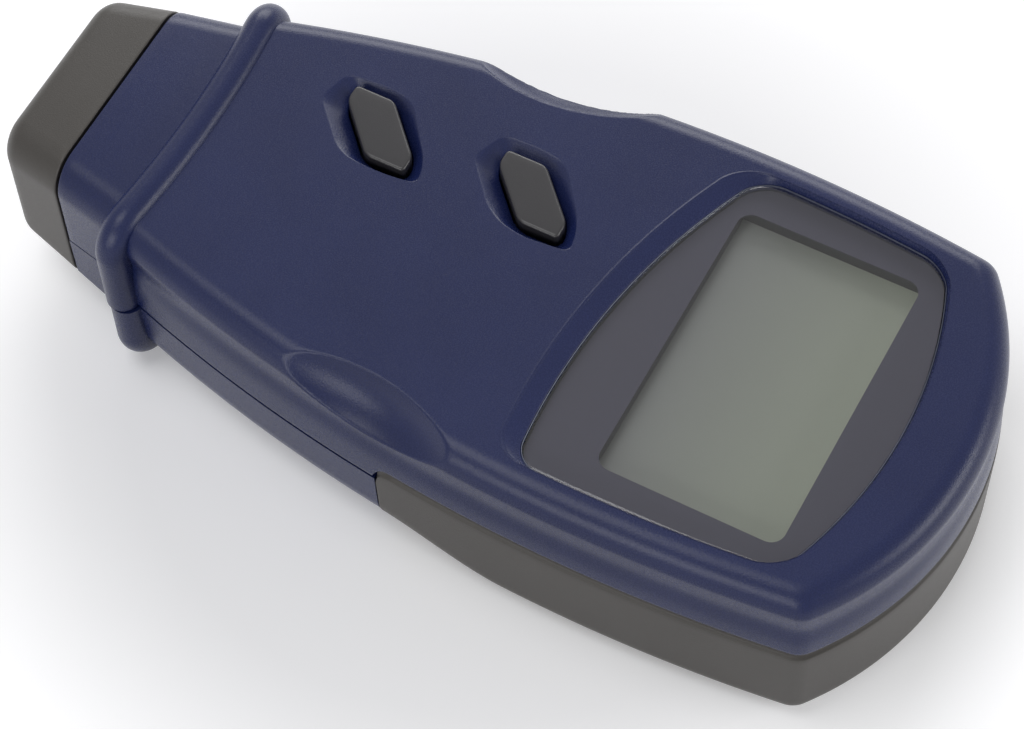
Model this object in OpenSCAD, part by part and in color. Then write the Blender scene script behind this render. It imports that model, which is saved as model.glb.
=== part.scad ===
// Hand-held laser tachometer: a two-piece shell with a bead round the neck, a grey nose with the
// optics, a wide window over the display, two keys and a sliding cover over four cells.
// Stations are measured along the body from the display end; the nose is the far end.

/* [Body] */
// Length from the display end to the nose face
body_length = 158; // [156:0.5:162]
// Widest width, across the display
body_width = 72; // [71:0.5:78]
// Height over the bead, from the surface it lies on
body_height = 37; // [36.5:0.25:39]
// Wall of the two case halves
case_wall = 2; // [1.6:0.1:2.3]
// Height of the flat top face
face_height = 35.4; // [34.8:0.1:36]
// Plan radius of each long side
side_radius = 280; // [260:5:320]
// Station of the widest place
widest_station = 50; // [46:1:54]
// Plan radius of the display end
end_radius = 52; // [50:0.5:56]
// Lean of the side walls, in degrees
side_lean = 1.2; // [1:0.1:1.6]
// Radius of the upper shoulder
shoulder_round = 4.2; // [3.8:0.1:5]
// Radius of the lower edge at the cover
keel_round = 5; // [4:0.25:6]
// Radius of the lower edge at the waist and neck
waist_round = 8; // [7:0.25:9]
// Rise of the underside at the waist and neck
waist_rise = 1.8; // [1.4:0.1:2.2]
// Height of the parting line ahead of the cover
parting_height = 17.5; // [17:0.25:18]
// Gap seen at every seam
seam_gap = 0.2; // [0.15:0.01:0.3]

/* [Bead and nose] */
// Station of the bead round the neck
bead_station = 131.8; // [131.2:0.1:132.2]
// Radius of the bead
bead_round = 2.8; // [2.4:0.1:3.2]
// How far the bead stands out of the sides
bead_proud = 3; // [2.4:0.1:3.4]
// Corner radius of the bead's centre line
bead_corner = 5.5; // [5:0.25:7]
// Station of the seam between the case and the grey nose
nose_station = 145.7; // [145:0.1:147]
// Half width of the nose at that seam
nose_half = 19; // [18.5:0.1:19.5]
// Height of the nose's underside at that seam
nose_low = 5.2; // [4.8:0.1:5.6]
// Rise of the nose's underside toward the front, in degrees
nose_rise = 13.4; // [12.4:0.2:14.4]
// Height of the nose's top
nose_high = 34.8; // [34:0.1:35]
// Radius of the nose's upper edges
nose_round = 7; // [6.5:0.25:8]
// Radius of the nose's lower edges
nose_keel = 4.5; // [4.2:0.1:5]
// Taper of the nose and the neck, in degrees
nose_taper = 12; // [11:0.5:13]
// Radius round the front face
front_round = 4.2; // [3.8:0.1:4.4]

/* [Grips] */
// Station of the two finger grips
grip_station = 83.5; // [82:0.5:86]
// Radius of each grip's hollow
grip_radius = 28; // [26:1:34]
// Depth of each grip below the shoulder
grip_depth = 3; // [2.6:0.1:3.2]

/* [Display] */
// Thickness of the window
lens_thick = 1.2; // [1:0.1:1.4]
// Depth of the window below the top face
lens_drop = 1.15; // [1:0.05:1.3]
// Margin between the window and the long sides
lens_margin = 5.7; // [5.4:0.1:6]
// Station of the window's lower edge
lens_start = 12.3; // [12:0.1:13]
// Plan radius of the window's lower edge
lens_end_radius = 70; // [65:1:75]
// Station of the crest of the window's upper edge
lens_crest = 60.9; // [60.4:0.1:61.4]
// Sideways place of that crest
lens_crest_x = -16.3; // [-17.5:0.1:-15]
// Plan radius of the window's upper edge
lens_top_radius = 104; // [100:1:110]
// Corner radius of the window
lens_corner = 3.2; // [2.8:0.1:3.6]
// Width of the sloped band above the window
band_width = 3; // [2.6:0.1:3.4]
// Clear width of the display
view_width = 49.2; // [48:0.2:50]
// Station of the clear area's lower edge
view_start = 20.4; // [20.2:0.1:20.8]
// Clear height of the display
view_height = 29.6; // [29:0.2:30]
// Thickness of the display glass
glass_thick = 2.4; // [2:0.1:2.6]

/* [Keys] */
// Width of a key, across the body
key_width = 10.9; // [10.5:0.1:11.3]
// Length of a key, along the body
key_length = 14.3; // [14:0.1:14.8]
// Width of the corner cut off a key
key_cut_x = 7.9; // [7.5:0.1:8.2]
// Length of the corner cut off a key
key_cut_y = 7.6; // [7.2:0.1:7.9]
// Sideways place of both keys
key_x = 11.1; // [10.6:0.1:11.6]
// Station of the measuring key
read_station = 105.3; // [104.5:0.1:106]
// Station of the memory key
memory_station = 78.9; // [78:0.1:79.5]
// Height of the keys' tops
key_top = 36.1; // [35.9:0.1:36.4]
// Travel of a key
key_travel = 0.5; // [0.4:0.05:0.5]
// Gap round a key
key_gap = 0.35; // [0.3:0.01:0.4]

/* [Battery] */
// Station of the front edge of the cover
cover_station = 82; // [81.5:0.25:83]
// Height of the upper edge of the cover
cover_height = 20.8; // [20.4:0.1:21.2]
// Wall of the cover
cover_wall = 1.8; // [1.6:0.05:1.85]
// Diameter of a cell
cell_diameter = 14.3; // [14:0.1:14.4]
// Length of a cell with its contact stud
cell_length = 50.3; // [49.8:0.1:50.5]
// Distance between neighbouring cells
cell_pitch = 14.6; // [14.5:0.05:14.7]
// Length left for each spring
spring_length = 5; // [4.8:0.1:5.2]
// Wire of the springs
spring_wire = 0.7; // [0.6:0.05:0.75]

/* [Electronics] */
// Thickness of the circuit board
board_thick = 1.6; // [1.2:0.2:1.6]
// Height of the board's upper face
board_top = 25.6; // [25.4:0.1:25.8]
// Side of a key switch
switch_side = 6; // [5.6:0.1:6.2]
// Height of a key switch's box
switch_height = 3.5; // [3.3:0.1:3.6]
// Diameter of a switch's plunger
plunger_diameter = 3.4; // [3.2:0.1:3.6]

/* [Optics] */
// Sideways place of the receiving lens
receiver_x = 5.4; // [5.2:0.1:5.6]
// Diameter of the receiving lens
receiver_diameter = 13; // [12.6:0.1:13.2]
// Sideways place of the laser
laser_x = -8.6; // [-8.8:0.1:-8.4]
// Diameter of the laser's barrel
laser_diameter = 8; // [7.6:0.1:8.2]
// Length of the laser's barrel
laser_length = 16; // [15:0.5:16.5]
// Height of the optical axes
optic_height = 21.4; // [21:0.1:21.8]

/* [Hidden] */

// One overrun serves every cut, and one clearance every seat that does not move
over = 1;
seat_gap = 0.15;
// How far an edge's round stands out of its wall, so that the two cross
round_lap = 0.008;
front_lap = 0.05;
round_steps = 40;
plan_steps = 240;
hull_steps = 32;

// Centre of each long side's arc, and the half width of the body at a station
side_centre = body_width / 2 - side_radius;
function half_at(station) = side_centre + sqrt(pow(side_radius, 2) - pow(station - widest_station, 2));

// Depth of a grip's floor below the corner that the shoulder rounds off
grip_floor = shoulder_round * (sqrt(2) - 1) + grip_depth;

// Lower edge of the upper half, a little below the walls' widest line
parting_cut = parting_height - seam_gap / 2;

// Bead: its centre line is a rounded rectangle round the neck
bead_half = half_at(bead_station) + bead_proud - bead_round;
bead_low = bead_round;
bead_high = body_height - bead_round;
neck_overlap = 1.3;

// Display stack, from the window down to the board
lens_top = face_height - lens_drop;
lens_low = lens_top - lens_thick;
ledge_thick = 1.6;
ledge_low = lens_low - seat_gap / 2 - ledge_thick;
ledge_rim = 2.2;
frame_wall = 1.7;
frame_collar = 2;
view_mid = view_start + view_height / 2;
glass_border = 2.4;
glass_width = view_width + 2 * glass_border;
glass_height = view_height + 2 * glass_border;
glass_drop = 2.4;
glass_top = lens_low - glass_drop - seat_gap;
glass_low = glass_top - glass_thick;
strip_width = 2.2;
strip_inset = 1.4;
frame_width = glass_width + 2 * frame_wall;
frame_height = glass_height + 2 * frame_wall;
frame_top = lens_low - seat_gap;

// Keys: the hole, its sloped well and the flange that stops the key
well_margin = 2.6;
well_shift = 0.8;
well_depth = 1.4;
well_foot = 0.7;
key_corner = 1.3;
// A key's upper edge: how far down and how far in it has come, as shares of its rounding
key_edge = 0.7;
key_edge_shares = [[1, 0], [0.3, 0.3], [0, 1]];
flange_reach = 1.2;
flange_thick = 1;
flange_gap = 0.2;
key_boss_rim = 4;
key_boss_depth = 4;
key_boss_low = face_height - key_boss_depth;
flange_top = key_boss_low - flange_gap;
key_low = flange_top - flange_thick;
key_places = [[key_x, read_station], [key_x, memory_station]];

// Switches stand on the board under the keys
board_low = board_top - board_thick;
switch_top = board_top + switch_height;
plunger_play = 0.05;
plunger_top = key_low - plunger_play;
plunger_sink = 0.8;
plunger_rest = 0.3;
plunger_depth = plunger_sink + key_travel + plunger_rest;

// Battery bay, hung under a ceiling that closes the lower half
slope_rise = 1.4;
cell_lift = 0.4;
cell_low = slope_rise + cover_wall + cell_lift;
cell_height = cell_low + cell_diameter / 2;
cell_count = 4;
plate_thick = 0.4;
bay_length = cell_length + spring_length + 2 * plate_thick + 2 * seat_gap;
bay_wall = 1.3;
bay_half = cell_pitch * (cell_count - 1) / 2 + cell_diameter / 2 + seat_gap * 2;
bay_start = 14.5;
bay_end = bay_start + bay_length;
bay_rise = 2.4;
bay_low = cell_low + bay_rise;
ceiling_low = cell_low + cell_diameter + 2 * seat_gap;
ceiling_thick = 1.5;
ceiling_top = ceiling_low + ceiling_thick;
rim_thick = 1.2;
rim_rise = 2.6;
rim_gap = 0.3;
slope_start = 60;
slope_share = 0.5;
rail_reach = 0.8;
rail_height = 1.2;
rail_low = 11;
rail_start = 20;
rail_end = 78;
rail_gap = 0.25;
step_in = 0.35;
step_height = 1.1;
ridge_count = 6;
ridge_pitch = 2.4;
ridge_width = 1;
ridge_depth = 0.5;
ridge_length = 18;
ridge_start = 24;
lip_thick = 0.9;
lip_rise = 1.4;
lip_root = 3;

// Springs and plates
spring_turns = 4;
spring_steps = 10;
spring_sides = 6;
spring_wide = 4.2;
spring_narrow = 3.2;
stud_radius = 2.7;
stud_length = 1;
cell_edge = 0.6;
plate_margin = 1;
plate_height = 11;
tab_x = cell_pitch * (cell_count - 1) / 2;
tab_width = 3;
tab_gap = 0.3;

// Screws, pillars and posts
pillar_round = 3.2;
pillar_stations = [118, 77.5];
pillar_halves = [20.3, 26.3];
screw_round = 1.3;
screw_head_round = 2.4;
screw_head_thick = 1.8;
screw_bite = 6;
screw_gap = 0.25;
thread_play = 0.05;
screw_lands = [6.2, 9.2];
boss_wall = 1.6;
post_round = 2.4;
post_places = [[26, 57.6], [19.5, 13.6]];
board_screw_round = 0.9;
board_head_round = 1.7;
board_head_thick = 1.2;
board_screw_bite = 4;

// Board outline, in half widths and stations
board_rear = 10.2;
board_rear_half = 19;
board_cheek = 18;
board_wide_half = 29;
board_wide_end = 72.6;
board_neck_start = 74;
board_neck_half = 16.5;
board_front = 124;
chip_side = 12;
chip_thick = 1.6;
chip_station = 94;
chip_x = -4;
crystal_length = 10;
crystal_width = 4.4;
crystal_height = 3.4;
crystal_station = 90;
crystal_x = -8;
capacitor_round = 3.1;
capacitor_height = 6.6;
capacitor_station = 113;
capacitor_x = -9;

// Optics: a block in the nose that carries the lens, the diode and the laser
holder_half = 13.8;
holder_low = 13;
holder_high = 30;
holder_back = 133;
front_wall = 2;
window_thick = 1.4;
window_half = 13.4;
window_rise = 8;
window_front = body_length - front_wall - seat_gap;
window_back = window_front - window_thick;
holder_front = window_back - seat_gap;
receiver_hole = 7.6;
laser_hole = 3.4;
receiver_rim = 1.2;
receiver_step = 1;
receiver_dome = 2.2;
receiver_sink = 1;
diode_round = 2.5;
diode_length = 5;
diode_flange = 2.9;
diode_flange_thick = 1;
diode_wall = 3;
laser_sink = 2;
laser_bore = 2.4;
laser_wide_bore = 2.9;
laser_slit = 1.6;
laser_wall = 1;
laser_lens_thick = 1.4;
laser_lens_play = 0.05;
laser_step = 2.6;
lead_round = 0.35;
lead_spread = 1.27;
spigot_length = 4.2;
spigot_wall = 1.3;
latch_reach = 0.5;
latch_width = 1;
latch_back = 2.6;
spigot_root = 1.2;
brace_width = 3;
brace_half = 9;
brace_length = 8.6;

// Outline of one long edge: its wall leans in above and below the waist and both edges are round
module edge_outline(reach, low, high, low_round, high_round) {
    wall = [cos(side_lean), sin(side_lean)];
    high_mid = [-(high - high_round - parting_height) * tan(side_lean) - high_round / wall.x,
        high - high_round];
    low_mid = [-(parting_height - low - low_round) * tan(side_lean) - low_round / wall.x,
        low + low_round];
    polygon([[-reach, low], [low_mid.x + round_lap, low], low_mid + low_round * [wall.x, -wall.y],
        [0, parting_height], high_mid + high_round * wall, [high_mid.x + round_lap, high], [-reach, high]]);
    translate([high_mid.x + round_lap, high_mid.y]) circle(high_round, $fn = round_steps);
    translate([low_mid.x + round_lap, low_mid.y]) circle(low_round, $fn = round_steps);
}

// One long side of the body: the rim of a wide disc
module side_solid(inset, low, low_round, high) {
    radius = side_radius - inset;
    translate([side_centre, widest_station, 0]) rotate_extrude($fn = plan_steps)
        translate([radius, 0]) edge_outline(side_radius / 2, low, high, low_round, shoulder_round - inset);
}

// The display end, round as seen from above, with everything ahead of its centre left whole
module end_solid(inset, low, low_round, high) {
    high_round = shoulder_round - inset;
    translate([0, end_radius, 0]) {
        rotate([0, 0, 180]) rotate_extrude(angle = 180, $fn = plan_steps)
            intersection() {
                translate([end_radius - inset, 0])
                    edge_outline(end_radius - inset, low, high, low_round, high_round);
                square([end_radius, high]);
            }
        translate([-body_width, 0, low]) cube([2 * body_width, body_length, high - low]);
    }
}

// The body without neck and nose, drawn in by an inset
module body_solid(inset = 0, low = 0, low_round = keel_round, high = face_height) {
    intersection() {
        side_solid(inset, low, low_round, high);
        mirror([1, 0, 0]) side_solid(inset, low, low_round, high);
        end_solid(inset, low, low_round, high);
    }
}

// A slice of the model between two stations and two heights
module slice(from, to, low, high) {
    translate([-body_width, from, low]) cube([2 * body_width, to - from, high - low]);
}

// Lower edge of the nose in section: flat underneath, a round corner, and open above that
module keel_outline(round) {
    polygon([[-body_width, 0], [-round, 0], [-round, round], [body_width, round],
        [body_width, body_height], [-body_width, body_height]]);
    translate([-round, round]) circle(round, $fn = round_steps);
}

// Nose and neck in one, drawn in by an inset: walls tapered as seen from above, and a rising underside
module nose_solid(inset = 0) {
    // The rise turns the lower edges' rounds back, so they are set out by that much of the taper
    keel_out = tan(nose_taper) * sin(nose_rise) * nose_keel;
    module side() {
        translate([nose_half - inset, nose_station, 0]) rotate([0, 0, nose_taper])
            translate([0, body_length / 4, 0]) rotate([90, 0, 0]) linear_extrude(body_length / 2)
                edge_outline(body_width, -body_height, nose_high - inset, nose_round, nose_round - inset);
    }
    module keel() {
        translate([nose_half - inset + keel_out, 0, inset])
            rotate([0, 0, atan(tan(nose_taper) * cos(nose_rise))])
                translate([0, body_length / 4, 0]) rotate([90, 0, 0]) linear_extrude(body_length / 2)
                    keel_outline(nose_keel - inset);
    }
    intersection() {
        side();
        mirror([1, 0, 0]) side();
        translate([0, nose_station, nose_low]) rotate([nose_rise, 0, 0]) intersection() {
            keel();
            mirror([1, 0, 0]) keel();
        }
    }
}

// Rounded front of the nose, as a block seen from above and from the side
module front_block() {
    back = body_length - front_round;
    half = nose_half - tan(nose_taper) * (back - nose_station) - front_round + front_lap;
    low = nose_low + tan(nose_rise) * (back - nose_station) + front_round - front_lap;
    high = nose_high - front_round;
    intersection() {
        linear_extrude(body_height) {
            translate([-body_width, 0]) square([2 * body_width, back]);
            translate([-half, 0]) square([2 * half, body_length]);
            for (side = [-1, 1]) translate([side * half, back]) circle(front_round, $fn = round_steps);
        }
        translate([-body_width / 2, 0, 0]) rotate([90, 0, 90]) linear_extrude(body_width) {
            square([back, body_height]);
            translate([0, low]) square([body_length, high - low]);
            for (height = [low, high]) translate([back, height]) circle(front_round, $fn = round_steps);
        }
    }
}

// Bead round the neck: four rods and four quarter rings
module bead() {
    for (side = [-1, 1]) {
        translate([side * bead_half, bead_station, bead_low + bead_corner])
            cylinder(h = bead_high - bead_low - 2 * bead_corner, r = bead_round, $fn = round_steps);
        for (height = [bead_low, bead_high])
            translate([0, bead_station, height]) rotate([0, 90, 0])
                cylinder(h = 2 * (bead_half - bead_corner), r = bead_round, center = true, $fn = round_steps);
    }
    for (side = [0, 1]) mirror([side, 0, 0]) {
        translate([bead_half - bead_corner, bead_station, bead_high - bead_corner]) rotate([90, 0, 0])
            rotate_extrude(angle = 90, $fn = round_steps)
                translate([bead_corner, 0]) circle(bead_round, $fn = round_steps);
        translate([bead_half - bead_corner, bead_station, bead_low + bead_corner]) rotate([90, 90, 0])
            rotate_extrude(angle = 90, $fn = round_steps)
                translate([bead_corner, 0]) circle(bead_round, $fn = round_steps);
    }
}

// Solid of the whole body outside the cover, with bead and neck
module case_outer() {
    intersection() {
        body_solid(0, waist_rise, waist_round);
        slice(0, bead_station, 0, body_height);
    }
    bead();
    intersection() {
        nose_solid();
        slice(bead_station, nose_station - seam_gap / 2, 0, body_height);
    }
}

// Space inside that solid
module case_inner() {
    intersection() {
        body_solid(case_wall, waist_rise + case_wall, waist_round - case_wall, face_height - case_wall);
        slice(0, bead_station - case_wall, 0, body_height);
    }
    intersection() {
        nose_solid(case_wall);
        slice(bead_station - case_wall - over, nose_station + over, 0, body_height);
    }
    intersection() {
        nose_solid(case_wall - latch_reach - seat_gap);
        slice(nose_station - latch_back - latch_width - seat_gap, nose_station - latch_back + seat_gap,
            0, body_height);
    }
}

// Everything above the parting line, which steps up over the cover
module upper_zone() {
    slice(cover_station + seam_gap / 2, body_length, parting_cut, body_height + over);
    slice(-over, cover_station + over, cover_height + seam_gap, body_height + over);
}

// Frame of each finger grip: its first axis points out of the shoulder, from the corner of the section
module at_grips() {
    turn = asin((grip_station - widest_station) / side_radius);
    lean = (face_height - shoulder_round - parting_height) * tan(side_lean);
    for (side = [0, 1]) mirror([side, 0, 0])
        translate([half_at(grip_station) - lean, grip_station, face_height])
            rotate([0, 0, turn]) rotate([0, -45, 0]) children();
}

// Finger grips: shallow round hollows across the shoulders
module grips() {
    at_grips() translate([grip_radius - grip_floor, 0, 0])
        cylinder(h = 2 * body_height, r = grip_radius, center = true, $fn = plan_steps);
}

// Flats inside the shoulders that keep the wall whole behind the grips
module grip_pads() {
    length = 2 * sqrt(2 * grip_radius * grip_depth) + 2 * case_wall;
    at_grips() translate([-grip_floor - case_wall, -length / 2, -body_height])
        cube([grip_floor + body_height, length, 2 * body_height]);
}

// Plan of the display window: two long sides, a round lower edge and a slanting upper edge
module lens_plan(grow = 0, lift = 0) {
    offset(r = lens_corner + grow, $fn = round_steps) offset(delta = -lens_corner) intersection() {
        translate([side_centre, widest_station]) circle(side_radius - lens_margin, $fn = plan_steps);
        mirror([1, 0]) translate([side_centre, widest_station])
            circle(side_radius - lens_margin, $fn = plan_steps);
        translate([0, lens_start + lens_end_radius]) circle(lens_end_radius, $fn = plan_steps / 2);
        translate([lens_crest_x, lens_crest + lift - lens_top_radius])
            circle(lens_top_radius, $fn = plan_steps / 2);
    }
}

// Plan of a key: a rectangle with two opposite corners cut off
module key_plan(grow = 0) {
    half = [key_width / 2, key_length / 2];
    offset(r = key_corner + grow, $fn = hull_steps) offset(delta = -key_corner)
        polygon([[-half.x, -half.y], [half.x - key_cut_x, -half.y], [half.x, -half.y + key_cut_y],
            [half.x, half.y], [-half.x + key_cut_x, half.y], [-half.x, half.y - key_cut_y]]);
}

// Material inside the upper half: the window's ledge, key wells, pillars, posts and the ledge at the cover
module top_bosses() {
    translate([0, 0, ledge_low]) linear_extrude(face_height - ledge_low) lens_plan(ledge_rim, band_width);
    for (place = key_places) translate([place.x, place.y, key_boss_low])
        linear_extrude(face_height - key_boss_low) key_plan(key_boss_rim);
    for (side = [-1, 1], k = [0, 1])
        translate([side * pillar_halves[k], pillar_stations[k], 0])
            cylinder(h = face_height, r = pillar_round, $fn = round_steps);
    for (side = [-1, 1], place = post_places)
        translate([side * place.x, place.y, board_top])
            cylinder(h = face_height - board_top, r = post_round, $fn = round_steps);
    difference() {
        slice(-over, cover_station + case_wall, cover_height, cover_height + seam_gap + ledge_thick);
        translate([-bay_half - bay_wall - rim_gap, bay_start - bay_wall - rim_gap, 0])
            cube([2 * (bay_half + bay_wall + rim_gap), body_length, body_height]);
    }
    for (side = [-1, 1])
        translate([side * brace_half - brace_width / 2, bead_station, holder_high + seat_gap])
            cube([brace_width, brace_length, body_height]);
}

// Cuts through the upper half: window, keys and screw holes
module top_cuts() {
    translate([0, 0, lens_low - seat_gap / 2]) linear_extrude(body_height) lens_plan(seat_gap);
    hull() {
        translate([0, 0, lens_top]) linear_extrude(seat_gap) lens_plan(0);
        translate([0, 0, face_height]) linear_extrude(over) lens_plan(seat_gap, band_width);
    }
    translate([-frame_width / 2 + frame_collar, view_mid - frame_height / 2 + frame_collar, 0])
        cube([frame_width - 2 * frame_collar, frame_height - 2 * frame_collar, body_height]);
    for (place = key_places) translate([place.x, place.y, 0]) {
        linear_extrude(body_height) key_plan(key_gap);
        hull() {
            translate([0, 0, face_height - well_depth]) linear_extrude(seat_gap) key_plan(well_foot);
            translate([0, well_shift, face_height]) linear_extrude(over) key_plan(well_margin);
        }
    }
    for (side = [-1, 1], k = [0, 1])
        translate([side * pillar_halves[k], pillar_stations[k], 0])
            cylinder(h = [parting_height, cover_height][k] + screw_bite + over, r = screw_round + thread_play,
                $fn = round_steps);
    for (side = [-1, 1], place = post_places)
        translate([side * place.x, place.y, board_top - over])
            cylinder(h = board_screw_bite + over, r = board_screw_round + thread_play, $fn = round_steps);
}

module top_case() {
    color("midnightblue") difference() {
        intersection() {
            case_outer();
            upper_zone();
        }
        grips();
        difference() {
            case_inner();
            grip_pads();
            top_bosses();
        }
        top_cuts();
    }
}

// Bay for the cells: a ceiling with a rim, side walls with rails and two end walls
module battery_bay() {
    half = bay_half + bay_wall;
    start = bay_start - bay_wall;
    end = cover_station + case_wall;
    translate([-half, start, ceiling_low]) cube([2 * half, end - start, ceiling_thick]);
    difference() {
        translate([-half, start, ceiling_low]) cube([2 * half, end - start, ceiling_thick + rim_rise]);
        translate([-half + rim_thick, start + rim_thick, ceiling_top])
            cube([2 * (half - rim_thick), body_length, body_height]);
    }
    for (side = [0, 1]) mirror([side, 0, 0]) {
        translate([bay_half, start, bay_low]) cube([bay_wall, end - start, ceiling_top - bay_low]);
        translate([half - over, rail_start, rail_low]) cube([rail_reach + over, rail_end - rail_start, rail_height]);
    }
    for (station = [start, bay_end])
        translate([-half, station, bay_low]) cube([2 * half, bay_wall, ceiling_top - bay_low]);
    for (side = [-1, 1])
        translate([side * pillar_halves[1], pillar_stations[1], screw_lands[1] - screw_head_thick - boss_wall])
            cylinder(h = cover_height - screw_lands[1] + screw_head_thick + boss_wall, r = pillar_round,
                $fn = round_steps);
}

// Lower half ahead of the cover, open upward, with its closing wall at the cover's edge
module front_shell() {
    difference() {
        intersection() {
            case_outer();
            slice(cover_station + seam_gap / 2, body_length, 0, parting_cut - seam_gap);
        }
        difference() {
            case_inner();
            slice(0, cover_station + case_wall, 0, body_height);
            translate([0, pillar_stations[0], 0]) for (side = [-1, 1])
                translate([side * pillar_halves[0], 0, 0]) cylinder(h = body_height, r = pillar_round, $fn = round_steps);
            for (side = [-1, 1])
                translate([side * brace_half - brace_width / 2, bead_station, 0])
                    cube([brace_width, brace_length, holder_low - seat_gap]);
        }
    }
}

// Lip that rises inside the upper half ahead of the cover
module parting_lip() {
    intersection() {
        difference() {
            body_solid(case_wall + seat_gap, waist_rise, waist_round - case_wall, face_height - case_wall);
            body_solid(case_wall + seat_gap + lip_thick, 0, waist_round - case_wall - lip_thick,
                face_height - case_wall);
        }
        slice(cover_station + case_wall + lip_thick, bead_station - case_wall - neck_overlap,
            parting_height - lip_root, parting_height + lip_rise);
    }
    intersection() {
        difference() {
            body_solid(case_wall - seat_gap, waist_rise, waist_round - case_wall, face_height - case_wall);
            body_solid(case_wall + seat_gap + lip_thick, 0, waist_round - case_wall - lip_thick,
                face_height - case_wall);
        }
        slice(cover_station + case_wall + lip_thick, bead_station - case_wall - neck_overlap,
            parting_height - lip_root, parting_cut - seam_gap);
    }
}

module bottom_case() {
    color("midnightblue") difference() {
        union() {
            front_shell();
            parting_lip();
            battery_bay();
        }
        for (side = [-1, 1], k = [0, 1]) translate([side * pillar_halves[k], pillar_stations[k], 0]) {
            cylinder(h = body_height, r = screw_round + screw_gap, $fn = round_steps);
            cylinder(h = screw_lands[k], r = screw_head_round + screw_gap, $fn = round_steps);
        }
        for (side = [-1, 1])
            translate([side * tab_x - tab_width / 2 - tab_gap, bay_end - plate_thick - seat_gap - tab_gap, 0])
                cube([tab_width + 2 * tab_gap, plate_thick + tab_gap + seat_gap, body_height]);
    }
}

module nose_cap() {
    color("dimgray") difference() {
        union() {
            intersection() {
                nose_solid();
                front_block();
                slice(nose_station + seam_gap / 2, body_length, 0, body_height);
            }
            intersection() {
                nose_solid(case_wall + seat_gap);
                slice(nose_station - spigot_length, nose_station + over, 0, body_height);
            }
            intersection() {
                nose_solid(case_wall - latch_reach);
                slice(nose_station - latch_back - latch_width, nose_station - latch_back, 0, body_height);
            }
        }
        intersection() {
            nose_solid(case_wall);
            slice(nose_station + spigot_root, window_front, 0, body_height);
        }
        intersection() {
            nose_solid(case_wall + seat_gap + spigot_wall);
            slice(0, nose_station + spigot_root + over, 0, body_height);
        }
        translate([-window_half - seat_gap, nose_station, optic_height - window_rise - seat_gap])
            cube([2 * (window_half + seat_gap), body_length - front_wall - nose_station,
                2 * (window_rise + seat_gap)]);
        for (hole = [[receiver_x, receiver_hole], [laser_x, laser_hole]])
            translate([hole.x, body_length - front_wall - over, optic_height]) rotate([-90, 0, 0])
                cylinder(h = front_wall + 2 * over, r = hole.y, $fn = round_steps);
    }
}

// The cover's outer shape, or with an inset its hollow, which runs past its front and its upper edge
module cover_solid(inset, reach) {
    front = cover_station - seam_gap / 2;
    middle = slope_start + slope_share * (front - slope_start);
    module slab(share, from, to) {
        intersection() {
            body_solid(inset, inset + share * slope_rise,
                keel_round + share * (waist_round - keel_round) - inset);
            slice(from, to, 0, cover_height + reach);
        }
    }
    hull() {
        slab(0, 0, slope_start);
        slab(slope_share, middle, middle + seam_gap);
        slab(1, front - seam_gap, front + reach);
    }
}

module battery_cover() {
    color("dimgray") {
        difference() {
            cover_solid(0, 0);
            cover_solid(cover_wall, over);
            difference() {
                slice(-over, cover_station, cover_height - step_height, body_height);
                body_solid(step_in);
            }
            for (k = [0 : ridge_count - 1])
                translate([-ridge_length / 2, ridge_start + k * ridge_pitch, -over])
                    cube([ridge_length, ridge_width, over + ridge_depth]);
        }
        for (side = [0, 1]) mirror([side, 0, 0]) intersection() {
            body_solid(cover_wall / 2);
            translate([bay_half + bay_wall + rail_gap + seat_gap / 2, rail_start, rail_low + rail_height + rail_gap])
                cube([body_width, rail_end - rail_start, rail_height]);
        }
    }
}

module display_lens() {
    color([0.2, 0.2, 0.25]) translate([0, 0, lens_low]) linear_extrude(lens_thick) lens_plan();
}

// A block centred across the body, from one station and height
module block(width, start, length, low, high, x = 0) {
    translate([x - width / 2, start, low]) cube([width, length, high - low]);
}

module lcd_frame() {
    start = view_mid - frame_height / 2;
    color([0.12, 0.12, 0.12]) difference() {
        union() {
            block(frame_width, start, frame_height, board_top, ledge_low - seat_gap);
            block(frame_width - 2 * frame_collar - 2 * seat_gap, start + frame_collar + seat_gap,
                frame_height - 2 * frame_collar - 2 * seat_gap, board_top, frame_top);
        }
        block(view_width + seat_gap, view_start - seat_gap / 2, view_height + seat_gap, board_low, body_height);
        block(glass_width + seat_gap, view_mid - (glass_height + seat_gap) / 2, glass_height + seat_gap,
            board_low, glass_top);
    }
}

module lcd_glass() {
    color([0.55, 0.6, 0.5])
        block(glass_width, view_mid - glass_height / 2, glass_height, glass_low, glass_top);
}

module contact_strips() {
    color([0.25, 0.25, 0.27]) for (end = [-1, 1])
        block(view_width, view_mid + end * (glass_height / 2 - strip_inset) - strip_width / 2, strip_width,
            board_top, glass_low);
}

module main_board() {
    edge = [[board_rear_half, board_rear], [board_wide_half, board_cheek], [board_wide_half, board_wide_end],
        [board_neck_half, board_neck_start], [board_neck_half, board_front]];
    color("darkgreen") translate([0, 0, board_low]) difference() {
        linear_extrude(board_thick)
            polygon(concat(edge, [for (k = [len(edge) - 1 : -1 : 0]) [-edge[k].x, edge[k].y]]));
        for (side = [-1, 1], place = post_places)
            translate([side * place.x, place.y, -over])
                cylinder(h = board_thick + 2 * over, r = board_screw_round + screw_gap, $fn = round_steps);
    }
}

module processor_chip() {
    color([0.1, 0.1, 0.1])
        block(chip_side, chip_station - chip_side / 2, chip_side, board_low - chip_thick, board_low, chip_x);
}

module crystal_can() {
    round = crystal_width / 2;
    color("silver") translate([crystal_x, crystal_station, board_top]) {
        block(crystal_length - crystal_width, -round, crystal_width, 0, crystal_height);
        for (side = [-1, 1])
            translate([side * (crystal_length / 2 - round), 0, 0])
                cylinder(h = crystal_height, r = round, $fn = round_steps);
    }
}

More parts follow.
